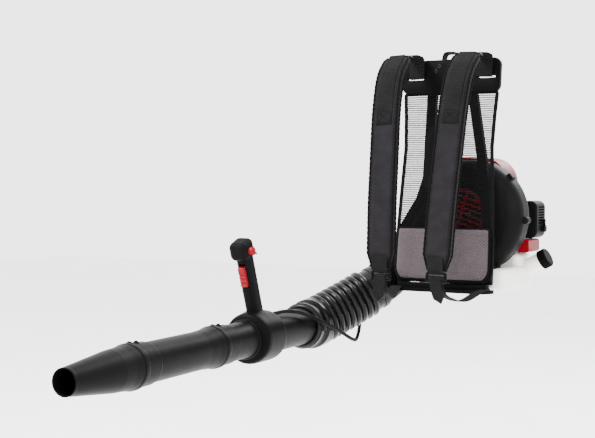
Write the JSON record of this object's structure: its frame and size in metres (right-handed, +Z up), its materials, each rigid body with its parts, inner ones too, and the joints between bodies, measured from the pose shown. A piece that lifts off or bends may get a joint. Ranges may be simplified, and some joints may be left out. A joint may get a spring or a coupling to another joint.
{
  "type": "backpack leaf blower",
  "caption": "Petrol blower worn on the back: padded harness on a base frame, fan casing with engine, bellows hose and long swivelling blower tube with control handle.",
  "frame": {"origin": "on the underside of the base, in its middle plane, under the foot of the back panel", "axes": "+Z up, -Y towards the wearer, +X towards the wearer's left when it is worn (the engine's air cleaner side)"},
  "size_m": [0.5226, 1.3218, 0.6925],
  "materials": {
    "frame_plastic": "fine textured black plastic",
    "tube_plastic": "satin black plastic",
    "case_plastic": "satin charcoal plastic",
    "black_rubber": "black rubber",
    "red_plastic": "red plastic",
    "charcoal_fabric": "quilted charcoal fabric",
    "webbing": "ribbed black webbing",
    "back_net": "sheer black net",
    "binding": "black binding tape",
    "pad_fabric": "mauve grey spacer mesh",
    "aluminium": "cast and machined aluminium",
    "steel": "machined steel",
    "tank_plastic": "translucent white plastic",
    "filter_foam": "open foam",
    "line_rubber": "fuel line",
    "ceramic": "spark plug body"
  },
  "bodies": {
    "frame": {"air_cleaner_base": "case_plastic", "air_cleaner_cover": "case_plastic", "air_filter": "filter_foam", "back_mesh": "back_net", "back_uprights": "frame_plastic", "base_frame": "frame_plastic", "carburettor": "aluminium", "carry_handle": "webbing", "crank_bearings": "steel", "crankcase": "aluminium", "cylinder": "aluminium", "engine_cover": "red_plastic", "fuel_lines": "line_rubber", "fuel_tank": "tank_plastic", "ignition_coil": "steel", "inlet_grille": "red_plastic", "isolator_mounts": "black_rubber", "lower_cowl": "red_plastic", "lower_webbing": "webbing", "lumbar_pad": "pad_fabric", "mesh_binding": "binding", "muffler": "steel", "outlet_elbow": "tube_plastic", "piston_and_rod": "aluminium", "plug_boot": "black_rubber", "rear_hose_clamp": "steel", "sewn_webbing": "webbing", "shoulder_strap_left": "charcoal_fabric", "shoulder_strap_right": "charcoal_fabric", "spark_plug": "ceramic", "starter_housing": "case_plastic", "strap_buckles": "frame_plastic", "throttle_cable_rear": "black_rubber", "top_webbing": "webbing", "volute_back": "case_plastic", "volute_front_lower": "case_plastic", "volute_front_upper": "case_plastic", "yoke": "frame_plastic"},
    "rotor": {"crankshaft": "steel", "impeller": "case_plastic", "flywheel": "steel"},
    "hose": {"bellows_hose": "black_rubber", "throttle_cable_middle": "black_rubber"},
    "tube": {"swivel_tube": "tube_plastic", "front_hose_clamp": "steel", "throttle_cable_front": "black_rubber"},
    "middle_tube": {"mid_tube": "tube_plastic"},
    "nozzle": {"nozzle": "tube_plastic"},
    "handle": {"handle_collar": "tube_plastic", "grip_shell_left": "tube_plastic", "grip_shell_right": "tube_plastic", "trigger_pin": "steel"},
    "trigger": {"throttle_trigger": "red_plastic"},
    "cruise_lever": {"cruise_lever": "red_plastic"},
    "carb_lever": {"throttle_lever": "steel"},
    "choke": {"choke_lever": "red_plastic"},
    "primer": {"primer_bulb": "black_rubber"},
    "starter_grip": {"starter_handle": "frame_plastic"},
    "starter_pulley": {"starter_pulley": "frame_plastic"},
    "cap": {"fuel_cap": "tube_plastic"}
  },
  "joints": [
    {"name": "crank_spin", "type": "hinge", "parent": "frame", "child": "rotor", "pos_m": [0.024, 0.1, 0.174], "axis": [0, 1, 0], "continuous": true},
    {"name": "hose_swing", "type": "hinge", "parent": "frame", "child": "hose", "pos_m": [-0.21205, -0.00307, -0.02405], "axis": [0, 0, -1], "range_deg": [-20, 30], "deforming": ["bellows_hose", "throttle_cable_rear", "throttle_cable_middle"]},
    {"name": "tube_tilt", "type": "hinge", "parent": "hose", "child": "tube", "pos_m": [-0.27458, -0.10821, -0.07643], "axis": [-0.9972, -0.0743, 0], "range_deg": [-20, 30], "deforming": ["bellows_hose", "throttle_cable_middle", "throttle_cable_front"]},
    {"name": "mid_tube_twist", "type": "hinge", "parent": "tube", "child": "middle_tube", "pos_m": [-0.24001, -0.57191, -0.07377], "axis": [0.0743, -0.9972, 0.0057], "range_deg": [0, 25]},
    {"name": "nozzle_twist", "type": "hinge", "parent": "middle_tube", "child": "nozzle", "pos_m": [-0.21801, -0.86709, -0.07208], "axis": [0.0743, -0.9972, 0.0057], "range_deg": [0, 25]},
    {"name": "handle_turn", "type": "hinge", "parent": "tube", "child": "handle", "pos_m": [-0.25748, -0.33757, -0.07511], "axis": [0.0743, -0.9972, 0.0057], "range_deg": [-25, 25], "deforming": ["throttle_cable_front"]},
    {"name": "trigger_pull", "type": "hinge", "parent": "handle", "child": "trigger", "pos_m": [-0.24953, -0.4442, 0.07259], "axis": [0.9972, 0.0743, 0], "range_deg": [0, 12], "stiffness_Nm_per_rad": 0.6, "springref_deg": -8.59},
    {"name": "cruise_turn", "type": "hinge", "parent": "handle", "child": "cruise_lever", "pos_m": [-0.22918, -0.44813, 0.11016], "axis": [0.9972, 0.0743, 0], "range_deg": [0, 60]},
    {"name": "throttle_turn", "type": "hinge", "parent": "frame", "child": "carb_lever", "pos_m": [0.087, 0.17, 0.188], "axis": [0, 1, 0], "range_deg": [0, 50]},
    {"name": "choke_turn", "type": "hinge", "parent": "frame", "child": "choke", "pos_m": [0.16035, 0.228, 0.14], "axis": [1, 0, 0], "range_deg": [0, 70]},
    {"name": "primer_press", "type": "slide", "parent": "frame", "child": "primer", "axis": [0, 0, 1], "range_m": [0, 0.004], "stiffness_N_per_m": 900, "springref_m": -0.001},
    {"name": "starter_pull", "type": "slide", "parent": "frame", "child": "starter_grip", "axis": [-1, 0, 0], "range_m": [0, 0.05], "stiffness_N_per_m": 60, "springref_m": -0.06},
    {"name": "pulley_turn", "type": "hinge", "parent": "frame", "child": "starter_pulley", "pos_m": [0.024, 0.255, 0.174], "axis": [0, 1, 0], "range_deg": [0, 125]},
    {"name": "cap_turn", "type": "hinge", "parent": "frame", "child": "cap", "pos_m": [0.136, 0.205, 0.05], "axis": [0.8829, 0, 0.4695], "continuous": true}
  ],
  "couplings": [
    {"joint": "throttle_turn", "follows": "trigger_pull", "ratio": 4.1667},
    {"joint": "pulley_turn", "follows": "starter_pull", "rad_per_m": 38.462}
  ]
}
